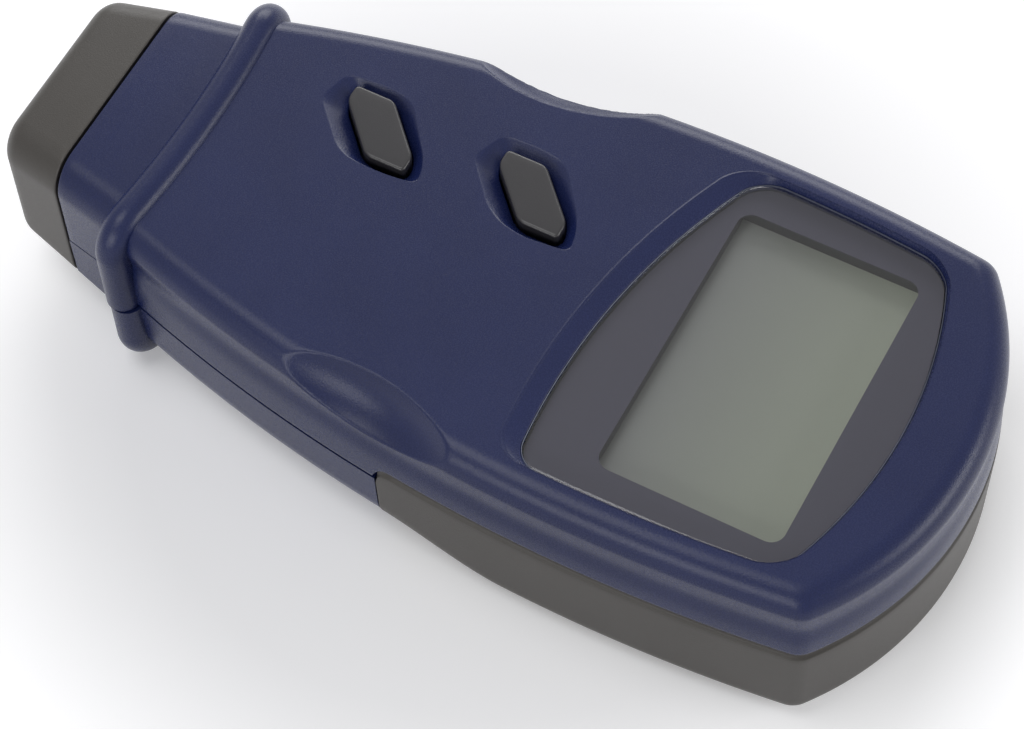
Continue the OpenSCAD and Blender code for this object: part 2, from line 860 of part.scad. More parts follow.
module filter_capacitor() {
    color([0.15, 0.15, 0.2]) translate([capacitor_x, capacitor_station, board_top])
        cylinder(h = capacitor_height, r = capacitor_round, $fn = round_steps);
}

// A key: its flange under the shell, its body and a softened top edge
module key_at(station) {
    color([0.25, 0.25, 0.26]) translate([key_x, station, 0]) {
        translate([0, 0, key_low]) linear_extrude(flange_thick) key_plan(flange_reach);
        hull() for (share = key_edge_shares)
            translate([0, 0, key_low]) linear_extrude(key_top - share.x * key_edge - key_low)
                key_plan(-share.y * key_edge);
    }
}

module read_button() { key_at(read_station); }
module memory_button() { key_at(memory_station); }

// A push switch, with a bore that its plunger slides in
module switch_at(station) {
    color([0.2, 0.2, 0.2]) translate([key_x, station, 0]) difference() {
        block(switch_side, -switch_side / 2, switch_side, board_top, switch_top);
        translate([0, 0, switch_top - plunger_depth])
            cylinder(h = plunger_depth + over, r = plunger_diameter / 2 + plunger_play, $fn = round_steps);
    }
}

module plunger_at(station) {
    color("ivory") translate([key_x, station, switch_top - plunger_sink])
        cylinder(h = plunger_top - switch_top + plunger_sink, r = plunger_diameter / 2, $fn = round_steps);
}

module read_switch() { switch_at(read_station); }
module memory_switch() { switch_at(memory_station); }
module read_plunger() { plunger_at(read_station); }
module memory_plunger() { plunger_at(memory_station); }

// A rod along the body on an optical axis
module optic_rod(x, start, length, radius) {
    translate([x, start, optic_height]) rotate([-90, 0, 0])
        cylinder(h = length, r = radius, $fn = round_steps);
}

module optics_holder() {
    receiver_seat = holder_front - receiver_sink - receiver_rim;
    color([0.15, 0.15, 0.15]) difference() {
        block(2 * holder_half, holder_back, holder_front - holder_back, holder_low, holder_high);
        optic_rod(receiver_x, receiver_seat, body_length, receiver_diameter / 2 + seat_gap);
        optic_rod(receiver_x, holder_back + diode_wall, body_length, receiver_diameter / 2 - receiver_step);
        optic_rod(receiver_x, holder_back - over, body_length / 2 - over, diode_round + seat_gap);
        optic_rod(laser_x, holder_back + diode_wall - seat_gap, body_length, laser_diameter / 2 + seat_gap);
        optic_rod(laser_x, holder_back - over, body_length / 2 - over, laser_step);
    }
}

module nose_window() {
    color([0.35, 0.05, 0.08]) block(2 * window_half, window_back, window_thick,
        optic_height - window_rise, optic_height + window_rise);
}

// Plano-convex lens: a flat disc with a domed inner face
module receiver_lens() {
    radius = receiver_diameter / 2;
    inner = radius - receiver_step - seat_gap;
    dome_radius = (inner * inner + receiver_dome * receiver_dome) / (2 * receiver_dome);
    color([0.8, 0.85, 0.9]) {
        optic_rod(receiver_x, holder_front - receiver_sink - receiver_rim, receiver_rim, radius);
        intersection() {
            translate([receiver_x, holder_front - receiver_sink - receiver_rim - receiver_dome + dome_radius,
                optic_height]) sphere(dome_radius, $fn = 2 * round_steps);
            optic_rod(receiver_x, holder_front - receiver_sink - receiver_rim - receiver_dome,
                receiver_dome + receiver_rim / 2, inner);
        }
    }
}

module photodiode() {
    color([0.1, 0.1, 0.12]) {
        optic_rod(receiver_x, holder_back, diode_length, diode_round);
        optic_rod(receiver_x, holder_back - diode_flange_thick, diode_flange_thick, diode_flange);
    }
}

module laser_barrel() {
    start = holder_back + diode_wall;
    color("goldenrod") difference() {
        optic_rod(laser_x, start, laser_length, laser_diameter / 2);
        optic_rod(laser_x, start + laser_length - laser_sink - laser_lens_thick, body_length, laser_bore);
        optic_rod(laser_x, start - over, laser_length - laser_sink - laser_lens_thick - laser_wall + over,
            laser_wide_bore);
        optic_rod(laser_x, start, laser_length, laser_slit);
    }
}

module laser_lens() {
    color([0.8, 0.85, 0.9]) optic_rod(laser_x, holder_back + diode_wall + laser_length - laser_sink
        - laser_lens_thick, laser_lens_thick, laser_bore - laser_lens_play);
}

// Leads of the diode and the laser, which bend up to the board
module optic_leads() {
    module lead(x, from, to) {
        height = board_low - optic_height - lead_round;
        optic_rod(x, to, from - to, lead_round);
        translate([x, to, optic_height]) sphere(lead_round, $fn = hull_steps);
        translate([x, to, optic_height]) cylinder(h = height, r = lead_round, $fn = hull_steps);
        translate([x, to, optic_height + height]) sphere(lead_round, $fn = hull_steps);
    }
    color("silver") for (side = [-1, 1]) {
        lead(receiver_x + side * lead_spread, holder_back - diode_flange_thick, board_front - over);
        lead(laser_x + side * lead_spread, holder_back + diode_wall, board_front - over);
    }
}

// Places of the cells across the body, with the way each stud points
function cell_x(k) = (k - (cell_count - 1) / 2) * cell_pitch;
function cell_way(k) = k % 2 == 0 ? 1 : -1;

module battery_cells() {
    radius = cell_diameter / 2;
    color("darkgoldenrod") for (k = [0 : cell_count - 1])
        translate([cell_x(k), bay_start + plate_thick + seat_gap, cell_height]) rotate([-90, 0, 0])
            translate([0, 0, cell_way(k) > 0 ? spring_length : cell_length])
                mirror([0, 0, cell_way(k) > 0 ? 0 : 1]) {
                    cylinder(h = cell_edge, r1 = radius - cell_edge, r2 = radius, $fn = round_steps);
                    translate([0, 0, cell_edge])
                        cylinder(h = cell_length - stud_length - 2 * cell_edge, r = radius, $fn = round_steps);
                    translate([0, 0, cell_length - stud_length - cell_edge])
                        cylinder(h = cell_edge, r1 = radius, r2 = radius - cell_edge, $fn = round_steps);
                    translate([0, 0, cell_length - stud_length])
                        cylinder(h = stud_length, r = stud_radius, $fn = round_steps);
                }
}

// A conical coil: rings of points round a helix, joined into one tube
module coil(length) {
    count = spring_turns * spring_steps;
    run = length - spring_wire;
    function place(k) = let (share = k / count, angle = 360 * k / spring_steps,
        radius = spring_wide + (spring_narrow - spring_wide) * share - spring_wire / 2)
        [radius * cos(angle), radius * sin(angle), spring_wire / 2 + run * share];
    points = [for (k = [0 : count], side = [0 : spring_sides - 1])
        let (mid = place(k), out = [cos(360 * k / spring_steps), sin(360 * k / spring_steps), 0],
            turn = 360 * side / spring_sides)
        mid + spring_wire / 2 * (cos(turn) * out + sin(turn) * [0, 0, 1])];
    faces = concat(
        [for (k = [0 : count - 1], side = [0 : spring_sides - 1])
            let (a = k * spring_sides + side, b = k * spring_sides + (side + 1) % spring_sides)
            [a, a + spring_sides, b]],
        [for (k = [0 : count - 1], side = [0 : spring_sides - 1])
            let (a = k * spring_sides + side, b = k * spring_sides + (side + 1) % spring_sides)
            [b, a + spring_sides, b + spring_sides]],
        [[for (side = [0 : spring_sides - 1]) side],
            [for (side = [spring_sides - 1 : -1 : 0]) count * spring_sides + side]]);
    polyhedron(points, faces);
}

module contact_springs() {
    color("silver") for (k = [0 : cell_count - 1])
        translate([cell_x(k), cell_way(k) > 0 ? bay_start + plate_thick + seat_gap
            : bay_start + plate_thick + seat_gap + cell_length + spring_length, cell_height])
            rotate([cell_way(k) > 0 ? -90 : 90, 0, 0]) coil(spring_length);
}

// Plates at both ends of the bay: three join neighbouring cells, two carry tabs up to the board
module plate(x, width, station) {
    block(width, station, plate_thick, cell_height - plate_height / 2, cell_height + plate_height / 2, x);
}

module link_plates() {
    width = 2 * cell_pitch - 2 * plate_margin;
    color("silver") {
        for (side = [-1, 1]) plate(side * cell_pitch, width, bay_start);
        plate(0, width, bay_end - plate_thick);
    }
}

module terminal_plates() {
    color("silver") for (side = [-1, 1]) {
        plate(side * tab_x, cell_pitch - 2 * plate_margin, bay_end - plate_thick);
        block(tab_width, bay_end - plate_thick, plate_thick, cell_height, board_low, side * tab_x);
    }
}

// A screw that stands head down, with its head under a land
module screw(land, tip, head_round, head_thick, shank_round) {
    translate([0, 0, land - head_thick]) cylinder(h = head_thick, r = head_round, $fn = round_steps);
    translate([0, 0, land]) cylinder(h = tip - land, r = shank_round, $fn = round_steps);
}

module case_screws() {
    color("silver") for (side = [-1, 1], k = [0, 1])
        translate([side * pillar_halves[k], pillar_stations[k], 0])
            screw(screw_lands[k], [parting_height, cover_height][k] + screw_bite,
                screw_head_round, screw_head_thick, screw_round);
}

module board_screws() {
    color("silver") for (side = [-1, 1], place = post_places)
        translate([side * place.x, place.y, 0])
            screw(board_low, board_top + board_screw_bite - seat_gap, board_head_round,
                board_head_thick, board_screw_round);
}

// The model is drawn with its middle over the origin
module placed() {
    translate([0, -body_length / 2, 0]) children();
}

placed() top_case();
placed() bottom_case();
placed() nose_cap();
placed() battery_cover();
placed() display_lens();
placed() lcd_frame();
placed() lcd_glass();
placed() contact_strips();
placed() main_board();
placed() processor_chip();
placed() crystal_can();
placed() filter_capacitor();
placed() read_button();
placed() memory_button();
placed() read_switch();
placed() memory_switch();
placed() read_plunger();
placed() memory_plunger();
placed() optics_holder();
placed() nose_window();
placed() receiver_lens();
placed() photodiode();
placed() laser_barrel();
placed() laser_lens();
placed() optic_leads();
placed() battery_cells();
placed() contact_springs();
placed() link_plates();
placed() terminal_plates();
placed() case_screws();
placed() board_screws();
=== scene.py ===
import math
import bpy
import numpy as np
from mathutils import Matrix, Vector, geometry


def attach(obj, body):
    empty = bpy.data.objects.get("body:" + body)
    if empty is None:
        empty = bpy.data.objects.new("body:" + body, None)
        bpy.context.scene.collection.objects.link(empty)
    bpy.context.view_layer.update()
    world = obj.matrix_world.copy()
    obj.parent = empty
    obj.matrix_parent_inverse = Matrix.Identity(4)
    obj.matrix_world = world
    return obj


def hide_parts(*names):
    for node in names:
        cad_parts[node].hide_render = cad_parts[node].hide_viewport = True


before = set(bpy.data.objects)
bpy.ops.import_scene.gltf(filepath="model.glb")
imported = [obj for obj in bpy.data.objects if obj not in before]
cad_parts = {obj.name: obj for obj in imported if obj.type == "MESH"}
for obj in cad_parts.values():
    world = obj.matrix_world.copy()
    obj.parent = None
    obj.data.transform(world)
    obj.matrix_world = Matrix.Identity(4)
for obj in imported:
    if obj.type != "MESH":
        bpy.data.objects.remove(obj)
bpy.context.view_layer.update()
mm = 0.001
halfLength = 79.0        # stations run from the display end, the frame from the middle
scene = bpy.context.scene
print("frame loaded")

# Camera: lens and place fitted to edges picked in the photograph, with a part length of 160 mm given
cameraSet = {"lens": 114.87, "place": (-0.22727, -0.13779, 0.44431),
             "right": (0.473269, -0.880469, -0.028123), "up": (0.762148, 0.393242, 0.514287),
             "back": (-0.441755, -0.26483, 0.857157)}


def makeCamera():
    data = bpy.data.cameras.new("camera")
    data.lens = cameraSet["lens"]
    data.sensor_width = 36
    data.clip_start = 0.01
    camera = bpy.data.objects.new("camera", data)
    turn = Matrix([cameraSet["right"], cameraSet["up"], cameraSet["back"]]).transposed().to_4x4()
    camera.matrix_world = Matrix.Translation(cameraSet["place"]) @ turn
    scene.collection.objects.link(camera)
    scene.camera = camera


makeCamera()
print("camera placed")


# Colours and nodes

def srgb(code):
    # hex to linear: each channel through the sRGB curve
    part = [int(code[k:k + 2], 16) / 255 for k in (1, 3, 5)]
    return tuple(c / 12.92 if c <= 0.04045 else ((c + 0.055) / 1.055) ** 2.4 for c in part) + (1.0,)


def perMm(size):
    # texture scale that gives features of this size in millimetres
    return 1 / (size * mm)


def addNode(tree, kind, settings=None, links=None):
    # adds one node, sets its properties or sockets, and joins sockets to other nodes' outputs
    node = tree.nodes.new(kind)
    for key, value in (settings or {}).items():
        if isinstance(key, str) and hasattr(node, key) and key not in node.inputs:
            setattr(node, key, value)
        else:
            node.inputs[key].default_value = value
    for key, (source, output) in (links or {}).items():
        tree.links.new(source.outputs[output], node.inputs[key])
    return node


def newMaterial(name):
    material = bpy.data.materials.new(name)
    material.use_nodes = True
    tree = material.node_tree
    tree.nodes.clear()
    coords = addNode(tree, "ShaderNodeTexCoord")
    return material, tree, coords


def finishMaterial(tree, shader):
    output = addNode(tree, "ShaderNodeOutputMaterial")
    tree.links.new(shader.outputs[0], output.inputs["Surface"])


def addShade(tree, look, source, output):
    # ramp between the finish's two tones, driven by the middle of a noise pattern
    shade = addNode(tree, "ShaderNodeValToRGB", links={"Fac": (source, output)})
    for end, place, tone in zip(shade.color_ramp.elements, (0.3, 0.7), ("dark", "light")):
        end.position = place
        end.color = srgb(look[tone])
    return shade


def addRange(tree, source, output, low, high):
    # the middle of a noise pattern spread over low to high
    return addNode(tree, "ShaderNodeMapRange", {"From Min": 0.3, "From Max": 0.7, "To Min": low, "To Max": high},
                   {"Value": (source, output)})


def texturedAbs(name, look):
    # ABS moulded in a spark-eroded tool: satin, with a fine even grain that breaks up highlights and takes
    # some of the gloss; the real grain is guessed at 0.1 mm and is drawn twice as coarse, so that it shows
    material, tree, coords = newMaterial(name)
    at = (coords, "Object")
    grain = addNode(tree, "ShaderNodeTexNoise", {"Scale": perMm(look["grain"]), "Detail": 3.0, "Roughness": 0.6},
                    {"Vector": at})
    cloud = addNode(tree, "ShaderNodeTexNoise", {"Scale": perMm(look["cloud"]), "Detail": 2.0}, {"Vector": at})
    shade = addShade(tree, look, cloud, "Fac")
    speck = addRange(tree, grain, "Fac", 1 - look["speck"], 1 + look["speck"])
    colour = addNode(tree, "ShaderNodeVectorMath", {"operation": "SCALE"},
                     {0: (shade, "Color"), "Scale": (speck, "Result")})
    rough = addRange(tree, grain, "Fac", look["rough"] - 0.05, look["rough"] + 0.05)
    bump = addNode(tree, "ShaderNodeBump", {"Strength": look["bump"], "Distance": look["grain"] * mm * 0.3},
                   {"Height": (grain, "Fac")})
    shader = addNode(tree, "ShaderNodeBsdfPrincipled", {"IOR": 1.53, "Specular IOR Level": look["gloss"]},
                     {"Base Color": (colour, 0), "Roughness": (rough, "Result"), "Normal": (bump, "Normal")})
    finishMaterial(tree, shader)
    return material


def plainFinish(name, look):
    # any other finish: two close tones in soft clouds, and a fine bump
    material, tree, coords = newMaterial(name)
    grain = addNode(tree, "ShaderNodeTexNoise", {"Scale": perMm(look["grain"]), "Detail": 2.0},
                    {"Vector": (coords, "Object")})
    shade = addShade(tree, look, grain, "Fac")
    bump = addNode(tree, "ShaderNodeBump", {"Strength": look.get("bump", 0.1), "Distance": look["grain"] * mm * 0.2},
                   {"Height": (grain, "Fac")})
    settings = {"Roughness": look["rough"], "Metallic": look.get("metal", 0.0)}
    settings.update(look.get("more", {}))
    shader = addNode(tree, "ShaderNodeBsdfPrincipled", settings,
                     {"Base Color": (shade, "Color"), "Normal": (bump, "Normal")})
    finishMaterial(tree, shader)
    return material


def polishedAcrylic(name, look):
    # cast acrylic sheet: clear straight through, with a Fresnel gloss on its outer face
    material, tree, coords = newMaterial(name)
    wave = addNode(tree, "ShaderNodeTexNoise", {"Scale": perMm(look["wave"]), "Detail": 1.0},
                   {"Vector": (coords, "Object")})
    bump = addNode(tree, "ShaderNodeBump", {"Strength": 0.02, "Distance": look["wave"] * mm * 0.02},
                   {"Height": (wave, "Fac")})
    through = addNode(tree, "ShaderNodeBsdfTransparent", {"Color": srgb(look["tint"])})
    gloss = addNode(tree, "ShaderNodeBsdfGlossy", {"Color": (1, 1, 1, 1), "Roughness": look["rough"]},
                    {"Normal": (bump, "Normal")})
    edge = addNode(tree, "ShaderNodeFresnel", {"IOR": 1.49}, {"Normal": (bump, "Normal")})
    # the face that light leaves by doesn't reflect back into the sheet, which would darken what lies under it
    side = addNode(tree, "ShaderNodeNewGeometry")
    front = addNode(tree, "ShaderNodeMath", {"operation": "SUBTRACT", 0: 1.0}, {1: (side, "Backfacing")})
    share = addNode(tree, "ShaderNodeMath", {"operation": "MULTIPLY"}, {0: (edge, "Fac"), 1: (front, 0)})
    shader = addNode(tree, "ShaderNodeMixShader", links={"Fac": (share, 0), 1: (through, 0), 2: (gloss, 0)})
    finishMaterial(tree, shader)
    return material


def displayPolariser(name, look):
    # polariser film over the display glass: faintly grained grey-green, with painted shade that darkens it toward the
    # nose
    material, tree, coords = newMaterial(name)
    at = (coords, "Object")
    split = addNode(tree, "ShaderNodeSeparateXYZ", links={"Vector": at})
    along = addNode(tree, "ShaderNodeMapRange", {"From Min": look["from"] * mm, "From Max": look["to"] * mm},
                    {"Value": (split, "Y")})
    grain = addNode(tree, "ShaderNodeTexNoise", {"Scale": perMm(look["grain"]), "Detail": 2.0}, {"Vector": at})
    tone = addRange(tree, grain, "Fac", 0.97, 1.03)
    # painted shade: the colour runs from the lit tone at the display end to a darker tone toward the nose
    shade = addNode(tree, "ShaderNodeValToRGB", links={"Fac": (along, "Result")})
    shade.color_ramp.elements[0].color = srgb(look["bright"])
    shade.color_ramp.elements[1].color = srgb(look["paintedShadeEnd"])
    colour = addNode(tree, "ShaderNodeVectorMath", {"operation": "SCALE"},
                     {0: (shade, "Color"), "Scale": (tone, "Result")})
    shader = addNode(tree, "ShaderNodeBsdfPrincipled", {"Roughness": 0.35}, {"Base Color": (colour, 0)})
    finishMaterial(tree, shader)
    return material


# Finishes: sizes of grain, cloud and wave are in millimetres
finishes = {
    "navy": texturedAbs("navyTexturedAbs", {"grain": 0.22, "cloud": 14.0, "dark": "#161f47", "light": "#1a234c",
                                            "speck": 0.12, "rough": 0.27, "bump": 0.55, "gloss": 0.25}),
    "grey": texturedAbs("greyTexturedAbs", {"grain": 0.24, "cloud": 11.0, "dark": "#3d3a37", "light": "#413e3b",
                                            "speck": 0.08, "rough": 0.42, "bump": 0.5, "gloss": 0.32}),
    # silicone rubber from a fine tool: dark and soft, with a clear highlight along its edges
    "keyRubber": plainFinish("mouldedKeyRubber", {"grain": 0.15, "dark": "#29282b", "light": "#2d2c2f", "rough": 0.3,
                                                  "bump": 0.35, "more": {"Specular IOR Level": 0.42}}),
    # ink screen printed behind the sheet: even and nearly matt, the sheet over it gives the gloss
    "lensPrint": plainFinish("screenPrintedInk", {"grain": 0.3, "dark": "#43424c", "light": "#46454f", "rough": 0.5,
                                                  "bump": 0.02, "more": {"Specular IOR Level": 0.2}}),
    # painted highlight: the clear sheet's polished edge, drawn in a pale opaque colour as a thin bright line
    "paintedEdgeHighlight": plainFinish("paintedSheetEdgeHighlight", {"grain": 0.5, "dark": "#8d92a0", "light": "#979cab",
                                                   "rough": 0.15, "bump": 0.02}),
    "sheet": polishedAcrylic("castAcrylicSheet", {"wave": 9.0, "tint": "#f4f4f7", "rough": 0.03}),
    # display polariser with painted shade: lighter at the display end, darker toward the nose
    "lcd": displayPolariser("displayPolariser", {"grain": 0.3, "from": -58.0, "to": -29.0,
                                                 "bright": "#9ba28a", "paintedShadeEnd": "#7e8178"}),
    # black ABS from a plain tool: dull, for what carries the display and the optics
    "black": plainFinish("mouldedBlackAbs", {"grain": 0.2, "dark": "#141416", "light": "#1a1a1c", "rough": 0.5}),
    # green solder resist over glass fibre: smooth and slightly glossy
    "board": plainFinish("solderResist", {"grain": 0.6, "dark": "#0d3b22", "light": "#114429", "rough": 0.35}),
    # rolled steel with a nickel plate: bright, with a brushed softness
    "steel": plainFinish("nickelPlatedSteel", {"grain": 0.3, "dark": "#b8b6b0", "light": "#c8c6c0", "rough": 0.28,
                                               "metal": 1.0}),
    # brass as it comes off the lathe: warm and fairly bright
    "brass": plainFinish("turnedBrass", {"grain": 0.3, "dark": "#b08d4a", "light": "#c09a55", "rough": 0.3,
                                         "metal": 1.0}),
    # shrunk plastic sleeve: dark and glossy
    "sleeve": plainFinish("shrinkSleeve", {"grain": 0.4, "dark": "#16161f", "light": "#1b1b25", "rough": 0.3}),
    # lacquered jacket of a cell: smooth dark grey
    "cells": plainFinish("printedCellJacket", {"grain": 0.5, "dark": "#2a2a2c", "light": "#303033", "rough": 0.25}),
    # natural acetal: waxy off-white
    "ivory": plainFinish("mouldedIvoryAcetal", {"grain": 0.3, "dark": "#d8d2bd", "light": "#e0dac6", "rough": 0.4}),
    # deep red filter sheet: polished, almost black until light falls on it
    "filter": plainFinish("redFilterAcrylic", {"grain": 0.5, "dark": "#3a060c", "light": "#42080f", "rough": 0.06,
                                               "bump": 0.01}),
    # moulded clear lens: bends what is behind it
    "clear": plainFinish("clearAcrylic", {"grain": 0.5, "dark": "#e8eef0", "light": "#eef2f4", "rough": 0.04,
                                          "bump": 0.01, "more": {"Transmission Weight": 1.0, "IOR": 1.49}}),
}
print("finishes made")

# Finishes of the CAD nodes
nodeFinish = {
    "navy": ["top_case", "bottom_case"], "grey": ["nose_cap", "battery_cover"],
    "keyRubber": ["read_button", "memory_button"], "sheet": ["display_lens"], "lcd": ["lcd_glass"],
    "black": ["lcd_frame", "processor_chip", "read_switch", "memory_switch", "optics_holder", "photodiode",
              "contact_strips"],
    "board": ["main_board"],
    "steel": ["crystal_can", "optic_leads", "contact_springs", "link_plates", "terminal_plates", "case_screws",
              "board_screws"],
    "sleeve": ["filter_capacitor"], "cells": ["battery_cells"], "ivory": ["read_plunger", "memory_plunger"],
    "brass": ["laser_barrel"], "filter": ["nose_window"], "clear": ["receiver_lens", "laser_lens"]}
for finish, names in nodeFinish.items():
    for name in names:
        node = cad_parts[name]
        node.data.materials.clear()
        node.data.materials.append(finishes[finish])
print("CAD nodes finished")


# Shape helpers: everything below is in millimetres, with stations along the body from the display end

def smooth(t):
    # eased 0..1 step: 3 t^2 - 2 t^3 between the ends
    t = np.clip(t, 0, 1)
    return t * t * (3 - 2 * t)


def gridFaces(rows, columns, wrap=False):
    # quads between neighbouring rows and columns; wrap joins the last column to the first
    r, c = np.meshgrid(np.arange(rows - 1), np.arange(columns if wrap else columns - 1), indexing="ij")
    here, there = r * columns, (r + 1) * columns
    after = (c + 1) % columns
    return np.stack([here + c, here + after, there + after, there + c], -1).reshape(-1, 4)


def fanFaces(row, columns, centre):
    # triangles from one closed row to a centre point
    c = np.arange(columns)
    return np.stack([row + c, row + (c + 1) % columns, np.full(columns, centre)], -1)


def cappedFaces(rows, columns):
    # closed rows with a fan at each end; the last two points are the centres of the last and the first row
    last = rows * columns
    return [gridFaces(rows, columns, True), fanFaces(last - columns, columns, last),
            fanFaces(0, columns, last + 1)[:, ::-1]]


def makePiece(name, points, faces, material, body, away, soft=True):
    # builds the mesh, turns its faces outward from the point away, and gives it to its body
    points = np.asarray(points, float).reshape(-1, 3)
    lean = 0.0
    for corner in [points[f] for f in faces]:
        normal = np.cross(corner[:, 1] - corner[:, 0], corner[:, 2] - corner[:, 0])
        lean += float((normal * (corner.mean(1) - np.array(away))).sum())
    loops = [f[:, ::-1] if lean < 0 else f for f in faces]
    placed = (points - np.array([0, halfLength, 0])) * mm
    mesh = bpy.data.meshes.new(name)
    mesh.vertices.add(len(placed))
    mesh.vertices.foreach_set("co", placed.ravel())
    sizes = np.concatenate([np.full(len(f), f.shape[1]) for f in loops])
    mesh.loops.add(int(sizes.sum()))
    mesh.loops.foreach_set("vertex_index", np.concatenate([f.ravel() for f in loops]).astype(np.int32))
    mesh.polygons.add(len(sizes))
    mesh.polygons.foreach_set("loop_start", np.concatenate([[0], np.cumsum(sizes)[:-1]]).astype(np.int32))
    mesh.polygons.foreach_set("use_smooth", np.full(len(sizes), soft))
    mesh.update(calc_edges=True)
    mesh.validate()
    mesh.materials.append(material)
    thing = bpy.data.objects.new(name, mesh)
    scene.collection.objects.link(thing)
    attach(thing, body)
    return thing


def thicken(thing, depth):
    # wall behind an outer skin; it has no rim, so the skin's open edges keep their shading
    solid = thing.modifiers.new("wall", "SOLIDIFY")
    solid.thickness = depth * mm
    solid.offset = -1
    solid.use_rim = False


def insideLoop(points, loop):
    # even-odd rule: counts the loop's edges crossed by a ray to the right of each point
    x, y = points[:, :1], points[:, 1:]
    a, b = loop[None], np.roll(loop, -1, 0)[None]
    crosses = (a[..., 1] > y) != (b[..., 1] > y)
    with np.errstate(divide="ignore", invalid="ignore"):
        at = a[..., 0] + (y - a[..., 1]) * (b[..., 0] - a[..., 0]) / (b[..., 1] - a[..., 1])
    return (crosses & (x < at)).sum(1) % 2 == 1


def plateFaces(rim, holes):
    # flat plate: triangles between an outer loop and the loops of its holes
    loops = [rim] + holes
    flat = np.concatenate(loops)
    edges, start = [], 0
    for loop in loops:
        k = np.arange(len(loop))
        edges.append(np.stack([start + k, start + (k + 1) % len(loop)], -1))
        start += len(loop)
    result = geometry.delaunay_2d_cdt([Vector(p) for p in flat.tolist()], np.concatenate(edges).tolist(), [], 0, 1e-6)
    verts = np.array([tuple(v) for v in result[0]])
    tris = np.array([f for f in result[2] if len(f) == 3])
    middle = verts[tris].mean(1)
    keep = insideLoop(middle, rim)
    for hole in holes:
        keep &= ~insideLoop(middle, hole)
    return verts, tris[keep]


def rayLoop(distance, centre, count):
    # closed outline: along each ray from the centre, the place where the distance field is nought,
    # found by halving the span 40 times
    turn = np.arange(count) / count * 2 * np.pi
    way = np.stack([np.cos(turn), np.sin(turn)], -1)
    low, high = np.zeros(count), np.full(count, 90.0)
    for k in range(40):
        middle = (low + high) / 2
        outside = distance(np.array(centre) + way * middle[:, None]) > 0
        high, low = np.where(outside, middle, high), np.where(outside, low, middle)
    return np.array(centre) + way * low[:, None]


def roundedMeet(fields, radius):
    # distance field of what lies inside all the fields, its corners rounded by the radius
    d = np.stack(fields) + radius
    return np.minimum(d.max(0), 0) + np.sqrt((np.maximum(d, 0) ** 2).sum(0)) - radius


def stackRows(loops, heights):
    # each flat outline lifted to its height
    return np.concatenate([np.column_stack([loop, np.full(len(loop), z)]) for loop, z in zip(loops, heights)])


# Body outline as seen from above, and its section
bodyShape = {"sideRadius": 280.0, "halfWidth": 36.0, "widest": 50.0, "endRadius": 52.0, "corner": 4.0, "front": 131.0,
             "shares": (0.7, 0.8),                     # shares of the columns where the side and its corner end
             "face": 35.4, "shoulder": 4.2, "lean": 1.2, "parting": 17.5, "columns": 270, "wall": 1.2,
             # inset and rise of the rows along the rounded lower edge
             "lowerEdge": [(1.4, 0.0), (0.35, 0.0), (0.1, 0.1), (0.0, 0.35)],
             # over the cover that edge stands higher, and comes down in a quarter round at the cover's front
             "coverRise": 3.5, "coverTurn": 78.9, "coverRound": 3.2,
             "cove": 0.5, "coveHeight": 27.6, "coveReach": 2.6,
             # margin of the top face, wider between the window and the bead
             "margin": 5.05, "wider": 4.6, "widerFrom": (63.0, 7.0), "widerTo": (132.0, 10.0)}


def halfAt(station, inset=0.0):
    # half width of the body: the side is an arc about a centre far out on the other side
    b = bodyShape
    arc = np.sqrt((b["sideRadius"] - inset) ** 2 - (station - b["widest"]) ** 2)
    return b["halfWidth"] - b["sideRadius"] + arc


def rimPoints(inset):
    # two arcs and a corner round between them; each column keeps its share of the way for every inset
    b = bodyShape
    s = np.linspace(0, 1, inset.shape[-1])
    one, two, r = b["sideRadius"] - inset, b["endRadius"] - inset, b["corner"]
    c1, c2 = np.array([b["halfWidth"] - b["sideRadius"], b["widest"]]), np.array([0, b["endRadius"]])
    gap = np.linalg.norm(c2 - c1)
    u = (c2 - c1) / gap
    along = ((one - r) ** 2 - (two - r) ** 2 + gap ** 2) / (2 * gap)
    off = np.sqrt((one - r) ** 2 - along ** 2)
    px, py = c1[0] + along * u[0] + off * u[1], c1[1] + along * u[1] - off * u[0]
    sideEnd = c1[1] + (py - c1[1]) / (one - r) * one
    turnOne, turnTwo = np.arctan2(py - c1[1], px - c1[0]), np.arctan2(py - c2[1], px - c2[0])
    a, c = b["shares"]
    y = b["front"] + (sideEnd - b["front"]) * np.clip(s / a, 0, 1)
    x = halfAt(y, inset)
    turn = turnOne + (turnTwo - turnOne) * np.clip((s - a) / (c - a), 0, 1)
    x, y = np.where(s > a, px + r * np.cos(turn), x), np.where(s > a, py + r * np.sin(turn), y)
    turn = turnTwo + (-np.pi / 2 - turnTwo) * np.clip((s - c) / (1 - c), 0, 1)
    x, y = np.where(s > c, c2[0] + two * np.cos(turn), x), np.where(s > c, c2[1] + two * np.sin(turn), y)
    return x, y


def bothSides(x, y, z):
    # right half of the outline with its mirror image, joined in the middle of the display end
    right = np.stack([x, y, z], -1)
    left = right[:, :-1] * np.array([-1, 1, 1])
    return np.concatenate([right, left[:, ::-1]], 1)


# Finger grips: a dish sunk into each shoulder, longer than it is wide
gripShape = {"station": 83.5, "floor": 5.9, "tilt": -0.4, "alongRadius": 25.0, "acrossRadius": 8.0, "edge": 0.06,
             "fade": (2.5, 1.5)}                       # the rim's round dies out this far outside the dish


